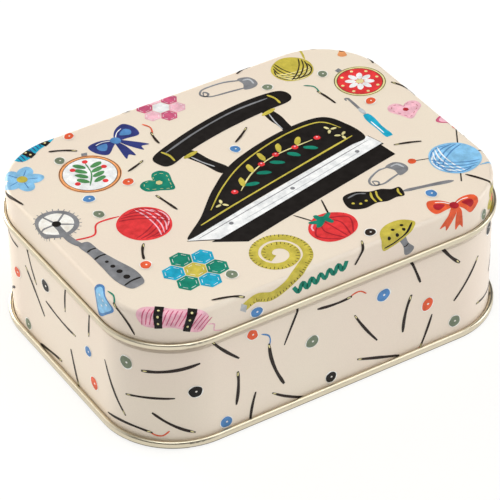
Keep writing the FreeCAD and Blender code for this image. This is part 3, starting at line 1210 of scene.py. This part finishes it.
@dataclass
class HeartPatch:
    """A heart cut from felt, stitched round."""

    size: float
    felt: Ink
    thread: Ink
    seam_share: float = 0.78
    stitch: float = 0.9

    def outline(self, share: float) -> list[Point]:
        """The heart's outline at a share of its size."""
        half = [(0, -0.95), (0.5, -0.42), (0.92, 0.1), (0.84, 0.56), (0.46, 0.72), (0.12, 0.56), (0, 0.38)]
        return scaled(mirrored(half, (-1, 1)), self.size * share)

    def draw(self, film: PrintFilm) -> None:
        """Draws the felt and its stitches."""
        film.shape(self.outline(1.0), self.felt, 0)
        line = smooth_path(self.outline(self.seam_share), True, self.stitch)
        for n in range(0, len(line) - 1, 2):
            film.stroke(line[n : n + 2], 0.34, self.thread, 1, smooth=False)
        film.disc(0, 0, 0.36 * self.size, 0.36 * self.size, self.thread, 1, sides=6)


@dataclass
class CrossedNeedles:
    """Two knitting needles that cross, with knobs at their ends."""

    length: float
    shaft: Ink = Ink.SEPIA
    knob: Ink = Ink.VERMILION

    def draw(self, film: PrintFilm) -> None:
        """Draws the shafts and the knobs."""
        half = self.length / 2
        for turn in (38, 142):
            way = Vector(polar(1, turn))
            film.stroke([-way * half, way * half], 0.95, self.shaft, 0, ends=0.3, smooth=False)
            film.disc(*(way * (half + 0.6)), 2.5, 2.3, self.knob, 1, sides=20)


@dataclass
class CrochetHook:
    """A crochet hook with a coloured grip."""

    length: float
    grip: Ink = Ink.TURQUOISE

    def draw(self, film: PrintFilm) -> None:
        """Draws the shaft with its hook, the grip and the flat for the thumb."""
        half = self.length / 2
        film.stroke([(0, 0), (half - 1.2, 0.1), (half, 0.3), (half + 0.2, 1), (half - 0.8, 1.1)], 0.85,
                    Ink.SLATE, 0)
        film.stroke([(-half, -0.2), (-half * 0.4, 0.1), (half * 0.15, 0)], 2.3, self.grip, 1, ends=0.7)
        film.stroke([(-half * 0.8, 0.4), (-half * 0.2, 0.6)], 0.4, Ink.PAPER, 2)
        film.disc(half * 0.32, 0, 3.4, 1.5, Ink.SILVER, 1, sides=16)


@dataclass
class Skein:
    """A twisted skein of floss in two plain paper bands."""

    length: float
    floss: Ink
    shade: Ink
    band: Ink = Ink.COAL
    slimness: float = 0.17
    twist_pitch: float = 1.25

    def draw(self, film: PrintFilm) -> None:
        """Draws the floss, its twist, the bands and a loose end."""
        half, tall = self.length / 2, self.length * self.slimness
        top = [(-1, 0), (-0.86, 0.8), (-0.5, 1), (0, 0.86), (0.5, 1), (0.86, 0.8), (1, 0)]
        film.stroke([(half, 0), (half + 2.4, 0.8), (half + 3.6, -0.8), (half + 6, -0.2)], 0.4, self.floss, 0)
        film.shape([(x * half, y * tall) for x, y in mirrored(top, (1, -1))], self.floss, 1)
        for n in range(int(self.length / self.twist_pitch)):
            x = -half * 0.86 + n * self.twist_pitch
            film.stroke([(x - 0.5, -tall * 0.72), (x + 0.3, 0), (x + 1.1, tall * 0.72)], 0.34, self.shade, 2)
        for x in (-half * 0.42, half * 0.42):
            film.shape([(x - 1.2, -tall * 1.08), (x + 1.2, -tall * 1.02), (x + 1.3, tall * 1.05),
                        (x - 1.1, tall * 1.1)], self.band, 4, smooth=False)
            film.dots([(x, side * tall) for side in (-0.6, 0, 0.6)], 0.7, Ink.STRAW, 6, sides=10)


@dataclass
class Blossom:
    """A simple five-petalled flower cut from cloth."""

    size: float
    petal: Ink
    heart: Ink
    vein: Ink

    def draw(self, film: PrintFilm) -> None:
        """Draws the petals, their veins and the heart."""
        for n, (x, y) in enumerate(ring_points(0, 0, 0.55 * self.size, 5, 90)):
            film.disc(x, y, 1.05 * self.size, 0.82 * self.size, self.petal, n, turn=90 + 72 * n, sides=22,
                      slip=0.04)
            film.stroke([(x * 0.5, y * 0.5), (x * 1.45, y * 1.45)], 0.3, self.vein, 5)
        film.disc(0, 0, 0.55 * self.size, 0.55 * self.size, self.heart, 6, sides=18)


@dataclass
class RicRac:
    """A length of wavy braid."""

    length: float
    braid: Ink
    waves: int = 6
    swing: float = 1.15
    width: float = 1.35

    def draw(self, film: PrintFilm) -> None:
        """Draws the braid as one wavy stroke."""
        step = self.length / (2 * self.waves)
        points = [(-self.length / 2 + n * step, self.swing * (-1) ** n) for n in range(2 * self.waves + 1)]
        film.stroke(points, self.width, self.braid, 0, ends=0.9)


@dataclass
class Chalk:
    """A three-cornered piece of tailor's chalk."""

    size: float
    chalk: Ink = Ink.SKY
    edge: Ink = Ink.CORNFLOWER

    def draw(self, film: PrintFilm) -> None:
        """Draws the worn block and its bevelled edge."""
        size = self.size
        outline = mirrored([(0, 1.0), (0.55, 0.35), (0.95, -0.5), (0.75, -0.78), (0, -0.72)], (-1, 1))
        film.shape(scaled(outline, size), self.edge, 0)
        film.shape([(x * size * 0.8, y * size * 0.8 - 0.05 * size) for x, y in outline], self.chalk, 1)
        for x, y in scaled([(-0.35, -0.35), (0, -0.3), (0.35, -0.35), (0, 0.15)], size):
            film.disc(x, y, 0.16 * size, 0.1 * size, Ink.PAPER, 2, sides=12)


@dataclass
class TracingWheel:
    """A toothed tracing wheel in its fork, with rings and dots engraved on the handle."""

    metal: Ink = Ink.SLATE
    mark: Ink = Ink.COAL
    wheel: float = 6.2
    teeth: int = 26
    hub: float = 15.0

    def draw(self, film: PrintFilm) -> None:
        """Draws the wheel, the fork, the handle and its engraving."""
        self.draw_wheel(film)
        film.stroke([(2, 0.4), (7, 1.4), (self.hub + 0.6, 0.2)], 1.9, self.metal, 4, ends=0.7)
        film.disc(self.hub, 0, 2.6, 2.6, self.mark, 5, sides=18)
        top = [(-21, 0), (-20.2, 2.4), (-15, 3.4), (-8, 2.5), (-2, 1.7), (3, 1.5)]
        film.shape(mirrored(top, (1, -1)), self.metal, 5)
        for x, half in ((-0.6, 1.5), (-4.4, 1.9), (-18.4, 2.8)):
            film.stroke([(x, half), (x + 0.4, 0), (x, -half)], 0.6, self.mark, 6)
        for x, size in ((-7.2, 1.1), (-9.8, 1.4), (-12.7, 1.7), (-15.8, 1.9)):
            film.disc(x, 0, size, size, self.mark, 6, sides=14)

    def draw_wheel(self, film: PrintFilm) -> None:
        """Draws the toothed rim and its spokes."""
        hub, wheel = self.hub, self.wheel
        for x, y in ring_points(0, 0, 1.0, self.teeth):
            root, tip = ((hub + x * reach, y * reach) for reach in (wheel * 0.93, wheel * 1.12))
            film.stroke([root, tip], 0.55, self.metal, 0, smooth=False)
        film.disc(hub, 0, 2 * wheel, 2 * wheel, self.metal, 1, slip=0.008, sides=40)
        film.disc(hub, 0, 1.56 * wheel, 1.56 * wheel, Ink.MILK, 2, slip=0.01, sides=36)
        for x, y in ring_points(0, 0, wheel * 0.82, 5, 12):
            film.stroke([(hub, 0), (hub + x, y)], 0.7, self.metal, 3, ends=0.8, smooth=False)


@dataclass
class Awl:
    """An awl with a turned, painted handle."""

    handle: Ink = Ink.COAL
    trim: Ink = Ink.OCHRE
    blade: float = 15.0

    def draw(self, film: PrintFilm) -> None:
        """Draws the blade, the handle and its painted bands."""
        film.stroke([(0, 0), (self.blade * 0.6, 0.15), (self.blade, 0)], 1.3, Ink.SLATE, 0, ends=0.12)
        top = [(-17, 0), (-16.2, 3), (-12.4, 4), (-8.6, 2.7), (-5.4, 3), (-2.6, 2), (0, 1.9)]
        film.shape(mirrored(top, (1, -1)), self.handle, 1)
        for x, half in ((-0.9, 1.7), (-7, 2.5), (-8.6, 2.4)):
            film.stroke([(x, half), (x - 0.4, 0), (x, -half)], 0.6, self.trim, 2)
        film.dots([(-14.8, -0.9), (-12.9, -1.7), (-11, -0.9)], 0.9, self.trim, 2)
        film.stroke([(-15.4, 1.8), (-12.4, 2.9), (-10, 2.2)], 0.5, Ink.SLATE, 2)


@dataclass
class DarningMushroom:
    """A painted wooden darning mushroom."""

    size: float
    cap: Ink = Ink.TEAL
    ring: Ink = Ink.STRAW
    wood: Ink = Ink.APRICOT

    def draw(self, film: PrintFilm) -> None:
        """Draws the stem, the cap and the painted rings and dots."""
        size = self.size
        stem = mirrored([(-0.16, 0.1), (-0.14, -0.6), (-0.26, -1.05), (0, -1.2)], (-1, 1))
        cap = [(-1, 0), (-0.86, 0.5), (-0.4, 0.86), (0.2, 0.9), (0.76, 0.62), (1, 0.05), (0.6, -0.14),
               (0, -0.2), (-0.6, -0.14)]
        film.shape(scaled(stem, size), self.wood, 0)
        film.stroke(scaled([(-0.14, -0.62), (0, -0.68), (0.14, -0.62)], size), 0.4, Ink.SEPIA, 1)
        film.shape(scaled(cap, size), self.cap, 1)
        film.stroke(scaled([(-0.9, 0.08), (-0.4, -0.04), (0.3, -0.05), (0.9, 0.1)], size), 0.55, self.ring, 2)
        dots = [(-0.5, 0.34), (0, 0.5), (0.48, 0.36), (-0.12, 0.18), (0.3, 0.14)]
        film.dots(scaled(dots, size), 0.17 * size, self.ring, 2)


@dataclass
class SewingNeedle:
    """A sewing needle, drawn with one stroke of the brush, with a thread through its eye or none."""

    length: float
    width: float = 0.72
    steel: Ink = Ink.SEPIA
    thread: Ink | None = None
    sag: float = 0.05

    def draw(self, film: PrintFilm) -> None:
        """Draws the needle and its thread."""
        half = self.length / 2
        sag = film.hand.uniform(-self.sag, self.sag) * self.length
        head = half - 0.3
        if self.thread:
            sway = film.hand.choice((-1, 1)) * film.hand.uniform(0.9, 1.6)
            film.stroke([(head - 0.6, sag * 0.2), (head + 1.2, 0.5 * sway), (head + 3.1, 0.45 * sway),
                         (head + 5.0, -0.7 * sway)], 0.46, self.thread, 0)
        film.stroke([(-half, 0), (-half * 0.3, sag), (half * 0.4, sag), (half, 0)], self.width, self.steel, 1,
                    ends=0.5)
        film.disc(head - 0.7, sag * 0.25, 1.3, self.width * 0.42, Ink.STRAW, 2, sides=10)


@dataclass
class Bead:
    """A glass bead lying loose, seen end on."""

    size: float
    glass: Ink

    def draw(self, film: PrintFilm) -> None:
        """Draws the bead on its pale surround, with its bore and a shine."""
        tall = self.size * film.hand.uniform(0.8, 0.95)
        turn = film.hand.uniform(0, 180)
        film.disc(0, 0, self.size + 0.55, tall + 0.5, Ink.MILK, 0, turn=turn, slip=0.03, sides=24)
        film.disc(0, 0, self.size, tall, self.glass, 1, turn=turn, slip=0.035, sides=26)
        film.disc(0.05 * self.size, 0, 0.17 * self.size, 0.15 * self.size, Ink.MILK, 2, sides=10)


# ---- the layouts ----


class Motif(Protocol):
    """Anything that can be drawn in ink."""

    def draw(self, film: PrintFilm) -> None:
        """Draws the motif on a film."""


@dataclass(frozen=True)
class Placed:
    """One motif with its place on the lid, and how many films lie under it."""

    name: str
    motif: Motif
    x: float
    y: float
    turn: float = 0.0
    scale: float = 1.0
    lift: int = 0


@dataclass
class LidPrint:
    """The print on the lid: a flat iron in the middle and small things tossed round it."""

    skin: LidSkin
    inks: InkStore
    seed: int = 40
    loose_lift: int = 12

    def layout(self) -> list[Placed]:
        """Every motif on the lid, in millimetres from its middle."""
        return [
            Placed("flat_iron", FlatIron(), 5, 0, 11),
            # the left end
            Placed("tracing_wheel", TracingWheel(), -54, -6, 98),
            Placed("hoop_sprig", Hoop(8.8), -37, 24, -20),
            Placed("yarn_ball_red", YarnBall(7.6, Ink.SCARLET, Ink.CRIMSON, Ink.ROSE), -36, -4, 200),
            Placed("blossom_sky", Blossom(5.6, Ink.SKY, Ink.OCHRE, Ink.CORNFLOWER), -54, 32, 30),
            Placed("heart_felt", HeartPatch(5.6, Ink.TEAL, Ink.STRAW), -23, 10, 24),
            Placed("chalk_blue", Chalk(5.2), -64, -24, 70),
            # the front
            Placed("patch_flower_teal", PatchFlower(3.3, (Ink.TEAL, Ink.TURQUOISE), Ink.OCHRE), -35, -29, 10),
            Placed("skein_rose", Skein(21, Ink.ROSE, Ink.RASPBERRY), -50, -43, -38),
            Placed("tape_measure", TapeMeasure(), -13, -35, 12, 0.88),
            Placed("pincushion", Pincushion(7.2), 6, -33, 12),
            Placed("awl", Awl(), 31, -30, -14),
            Placed("darning_mushroom", DarningMushroom(6.4, Ink.OCHRE, Ink.COAL, Ink.SLATE), 20, -46, 24),
            Placed("bow_red", Bow(6.8, Ink.VERMILION, Ink.CRIMSON), 39, -43, -18),
            Placed("ric_rac_teal", RicRac(17, Ink.TEAL), -6, -49, 6),
            # the right end
            Placed("knitting_needles", CrossedNeedles(26), 54, -24, 20),
            Placed("yarn_ball_sky", YarnBall(7.4, Ink.SKY, Ink.CORNFLOWER, Ink.PAPER), 52, -25, 20, lift=3),
            Placed("hoop_daisy", Hoop(7.6, Ink.SCARLET, Ink.STRAW, Ink.PAPER, Ink.STRAW, Stitchwork.DAISY),
                   51, 21, 15),
            Placed("crochet_hook", CrochetHook(22), 43, 4.6, 88),
            Placed("heart_rose", HeartPatch(5.2, Ink.ROSE, Ink.CRIMSON), 54, 2, -14),
            Placed("chalk_pink", Chalk(4.6, Ink.ROSE, Ink.RASPBERRY), 63, -8, -40),
            Placed("safety_pin_short", SafetyPin(14), 31.6, -21.4, 12),
            Placed("blossom_ochre", Blossom(4.8, Ink.OCHRE, Ink.SCARLET, Ink.SEPIA), 58, -43, 0),
            # the back
            Placed("bow_navy", Bow(7.6, Ink.NAVY, Ink.CORNFLOWER), -23, 34, 18),
            Placed("skein_turquoise", Skein(16, Ink.TURQUOISE, Ink.NAVY), -44, 44, 24),
            Placed("patch_flower_rose", PatchFlower(2.6, (Ink.ROSE, Ink.RASPBERRY), Ink.PAPER), -4, 41, 0),
            Placed("safety_pin_long", SafetyPin(18), 17, 39, -10),
            Placed("yarn_ball_ochre", YarnBall(6.2, Ink.OCHRE, Ink.SEPIA, Ink.STRAW), 38, 37, 100),
            Placed("darning_mushroom_teal", DarningMushroom(5.4), 57, 40, -30),
            Placed("ric_rac_red", RicRac(14, Ink.SCARLET, 5), 14, 48, -8),
        ]

    def needles(self) -> list[tuple[float, float, float, float, Ink | None]]:
        """Loose needles in the gaps: x, y, turn, length and thread."""
        return [
            (-26, 1, 100, 9, None), (-60, 27, 96, 11, None), (-38, 37.5, -30, 8, None),
            (-13, 29, 82, 6, Ink.VERMILION), (38.4, 19.5, 98, 8, Ink.TEAL), (60, 11, 110, 10, None),
            (45, -12, 160, 8, None), (52, -37, -62, 9, None), (28, 45, 15, 10, None),
            (-62, -34, 70, 11, Ink.TEAL), (-34, -44, -20, 9, None), (7, -46, 60, 8, None),
            (61, -36, 80, 9, None), (-24.5, 20.3, 20, 6.5, None), (-42.4, -14.6, 60, 7, None),
            (60.4, 30, 75, 7, None), (8, 17, 35, 8, None),
        ]

    def beads(self) -> list[tuple[float, float, float, Ink]]:
        """Loose beads in the gaps: x, y, size and glass."""
        return [
            (-43, 14, 3.4, Ink.CORNFLOWER), (-30, 15, 3.2, Ink.VERMILION), (-44.2, 6.4, 3.4, Ink.SAGE),
            (44, 30, 3.2, Ink.SAGE), (48, 11, 3.4, Ink.VERMILION), (3, 12, 3.2, Ink.CORNFLOWER),
            (50, 44, 3.2, Ink.CORNFLOWER), (-41, 34, 3.2, Ink.SAGE), (13, -40.7, 3.2, Ink.SEPIA),
            (-13, 46, 3.2, Ink.SEPIA), (63, -17, 3.6, Ink.CORNFLOWER), (-28, -36, 3.4, Ink.SAGE),
            (36.9, -35.2, 3.4, Ink.CORNFLOWER), (-45, -20, 3.4, Ink.VERMILION), (27, 33, 3.0, Ink.SAGE),
            (52, -49, 3.6, Ink.SAGE), (-26.2, -52, 3.6, Ink.CORNFLOWER), (-33, 43, 3.2, Ink.VERMILION),
        ]

    def build(self) -> None:
        """Draws every motif as a piece of its own, and the loose needles and beads as two more."""
        for n, placed in enumerate(self.layout()):
            film = PrintFilm(f"lid_print_{placed.name}", self.seed + n, placed.lift)
            placed.motif.draw(film.at(placed.x, placed.y, placed.turn, placed.scale))
            film.finish(self.skin, self.inks)
        needles = PrintFilm("lid_print_needles", self.seed, self.loose_lift)
        for x, y, turn, length, thread in self.needles():
            SewingNeedle(length, thread=thread).draw(needles.at(x, y, turn))
        needles.finish(self.skin, self.inks)
        beads = PrintFilm("lid_print_beads", self.seed, self.loose_lift)
        for x, y, size, glass in self.beads():
            Bead(size, glass).draw(beads.at(x, y))
        beads.finish(self.skin, self.inks)


@dataclass
class WallPrint:
    """The print round the body: needles and beads scattered over a loose grid, clear of each other.

    A thing that finds no clear place near its spot on the grid is left out.
    """

    skin: WallSkin
    inks: InkStore
    seed: int = 7
    columns: int = 30
    rows: int = 3
    bottom: float = 6.0
    row_pitch: float = 11.0
    stray: float = 3.2
    clearance: float = 2.9
    tries: int = 24
    bead_every: int = 3
    bead_sizes: Span = (3.4, 4.3)
    bead_lift: int = 4
    needle_lengths: Span = (11.0, 17.0)
    needle_widths: Span = (0.7, 1.05)
    thread_chance: float = 0.3
    colours: Sequence[Ink] = (Ink.CORNFLOWER, Ink.VERMILION, Ink.SAGE, Ink.COAL)

    def spots(self, x: float, y: float, turn: float, length: float) -> list[Vector]:
        """Places along a thing that is as long as length, for measuring how near it lies to others."""
        way = Vector(polar(1, turn)) * length / 2
        return [Vector((x, y)) + way * share for share in (-1.0, -0.5, 0.0, 0.5, 1.0)]

    def build(self) -> None:
        """Draws the needles as one piece and the beads as another."""
        chance = random.Random(self.seed)
        needles = PrintFilm("wall_print_needles", self.seed)
        beads = PrintFilm("wall_print_beads", self.seed + 1, self.bead_lift)
        pitch = self.skin.girth / self.columns
        taken: list[Vector] = []
        for column in range(self.columns):
            for row in range(self.rows):
                is_bead = (column + row) % self.bead_every == 0
                colour = self.colours[column % len(self.colours)] if is_bead else chance.choice(self.colours)
                for _ in range(self.tries):
                    x = pitch * (column - self.columns / 2 + 0.5 * (row % 2))
                    x += chance.uniform(-self.stray, self.stray)
                    y = self.bottom + self.row_pitch * row + chance.uniform(-self.stray, self.stray)
                    turn = chance.uniform(0, 360)
                    length = 0.0 if is_bead else chance.uniform(*self.needle_lengths)
                    spots = self.spots(x, y, turn, length)
                    if all((a - b).length > self.clearance for a in spots for b in taken):
                        break
                else:
                    continue
                taken.extend(spots)
                if is_bead:
                    Bead(chance.uniform(*self.bead_sizes), colour).draw(beads.at(x, y))
                else:
                    threaded = chance.random() < self.thread_chance and colour is not Ink.COAL
                    thread = colour if threaded else None
                    needle = SewingNeedle(length, chance.uniform(*self.needle_widths), thread=thread)
                    needle.draw(needles.at(x, y, turn))
        needles.finish(self.skin, self.inks)
        beads.finish(self.skin, self.inks)


@dataclass
class Tin:
    """The three pieces of tinplate, which keep their CAD solids and get their finishes here."""

    form: TinForm

    def dress(self, node: str, material: bpy.types.Material) -> None:
        """Gives one CAD node its material."""
        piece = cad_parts[node]
        piece.data.materials.clear()
        piece.data.materials.append(material)
        LOG.info("%s: %s", node, material.name)

    def build(self) -> None:
        """Dresses the lid, the wall and the base plate."""
        printed = PrintedTin(self.form)
        self.dress("lid", printed.build("printed_tinplate_lid", printed.lid_mask))
        self.dress("body_wall", printed.build("printed_tinplate_wall", printed.wall_mask))
        self.dress("base_plate", Tinplate().build("gold_varnished_tinplate"))


# ---- the studio ----


@dataclass(frozen=True)
class LightTable:
    """Milky acrylic, lit from beneath. It gives the eye an almost pure white that hardly takes a shadow."""

    white: str = "888888"
    shade: str = "858584"
    glow: float = 0.78
    glow_tint: str = "fffefc"
    cloud_mm: float = 400.0
    roughness: float = 0.9

    def build(self) -> bpy.types.Material:
        """The table top's material."""
        finish = Finish("lit_white_acrylic")
        tone = finish.add("ShaderNodeMix", {
            "Factor": finish.mottle(self.cloud_mm),
            "A": srgb_to_linear(self.white),
            "B": srgb_to_linear(self.shade),
        }, data_type="RGBA")
        return finish.close({
            "Base Color": tone,
            "Roughness": self.roughness,
            "Emission Color": srgb_to_linear(self.glow_tint),
            "Emission Strength": self.glow,
        })


@dataclass(frozen=True)
class Softbox:
    """A soft light that points at the tin: its place and size in metres, its power and its colour."""

    name: str
    place: tuple[float, float, float]
    wide: float
    tall: float
    watts: float
    tint: str = "ffffff"
    aim: tuple[float, float, float] = (0.0, 0.0, 0.02)

    def hang(self) -> None:
        """Adds the light to the scene."""
        data = bpy.data.lights.new(self.name, "AREA")
        data.shape = "RECTANGLE"
        data.size, data.size_y = self.wide, self.tall
        data.energy = self.watts
        data.color = srgb_to_linear(self.tint)[:3]
        light = add_object(self.name, data)
        light.location = self.place
        light.rotation_euler = (Vector(self.aim) - light.location).to_track_quat("-Z", "Y").to_euler()
        LOG.info("%s: %.1f W", self.name, self.watts)


@dataclass
class Studio:
    """A white light table, a dim sky, softboxes on every side and the camera."""

    azimuth: float = -31.57
    elevation: float = 37.4
    roll: float = -0.96
    distance_mm: float = 847.1
    aim_right_mm: float = -0.32
    aim_up_mm: float = 14.39
    focal_px: float = 2961.4
    image_px: float = 500
    sensor_mm: float = 36
    near_m: float = 0.01
    table_reach_m: float = 6.0
    sky: str = "fdfdfd"
    sky_strength: float = 0.1
    softboxes: tuple[Softbox, ...] = (
        Softbox("overhead_softbox", (0.0, -0.3, 1.35), 1.9, 0.7, 11.8, "fcffff"),
        Softbox("left_panel", (-0.95, 1.05, 0.75), 2.6, 1.5, 8.6),
        Softbox("left_lamp", (-0.36, 1.36, 0.3), 0.6, 0.6, 17.6, "fff3e0"),
        Softbox("right_softbox", (1.25, -0.4, 0.5), 0.7, 0.7, 6.1),
        Softbox("front_panel", (0.67, -1.07, 0.82), 0.7, 1.5, 4.1),
        Softbox("back_panel", (-0.1, 1.15, 1.25), 1.8, 1.0, 2.8),
    )

    def place_camera(self) -> None:
        """Puts the camera on its bearing and turns it to the tin."""
        az, el, roll = (math.radians(a) for a in (self.azimuth, self.elevation, self.roll))
        back = Vector((math.sin(az) * math.cos(el), -math.cos(az) * math.cos(el), math.sin(el)))
        right = Vector((math.cos(az), math.sin(az), 0))
        up = back.cross(right)
        side = right * math.cos(roll) + up * math.sin(roll)
        top = up * math.cos(roll) - right * math.sin(roll)
        place = (back * self.distance_mm + side * self.aim_right_mm + top * self.aim_up_mm) * MM
        data = bpy.data.cameras.new("camera")
        data.sensor_width = self.sensor_mm
        data.lens = self.focal_px / self.image_px * self.sensor_mm
        data.clip_start = self.near_m
        camera = add_object("camera", data)
        camera.matrix_world = Matrix.Translation(place) @ Matrix((side, top, back)).transposed().to_4x4()
        bpy.context.scene.camera = camera
        LOG.info("camera: %.0f mm lens", data.lens)

    def lay_table(self) -> None:
        """Adds the table top that the tin stands on."""
        top = bmesh.new()
        bmesh.ops.create_grid(top, x_segments=2, y_segments=2, size=self.table_reach_m)
        floor = add_mesh("floor", top)
        floor.data.materials.append(LightTable().build())
        LOG.info("floor: %s", floor.data.materials[0].name)

    def hang_sky(self) -> None:
        """Adds the dim, even light from all round."""
        world = bpy.data.worlds.new("studio_sky")
        world.use_nodes = True
        bpy.context.scene.world = world
        background = world.node_tree.nodes["Background"]
        background.inputs["Color"].default_value = srgb_to_linear(self.sky)
        background.inputs["Strength"].default_value = self.sky_strength
        LOG.info("%s: strength %.2f", world.name, self.sky_strength)

    def build(self) -> None:
        """Adds the table top, the sky, the lights and the camera."""
        self.lay_table()
        self.hang_sky()
        for softbox in self.softboxes:
            softbox.hang()
        bpy.context.scene.view_settings.view_transform = "Standard"
        self.place_camera()


def main() -> None:
    """Builds the tin's finish, its print and the studio, in that order."""
    logging.basicConfig(level=logging.INFO, format="%(message)s")
    form = TinForm.from_frame()
    inks = InkStore()
    Tin(form).build()
    LidPrint(LidSkin(form), inks).build()
    WallPrint(WallSkin(form), inks).build()
    Studio().build()


if __name__ == "__main__":
    main()
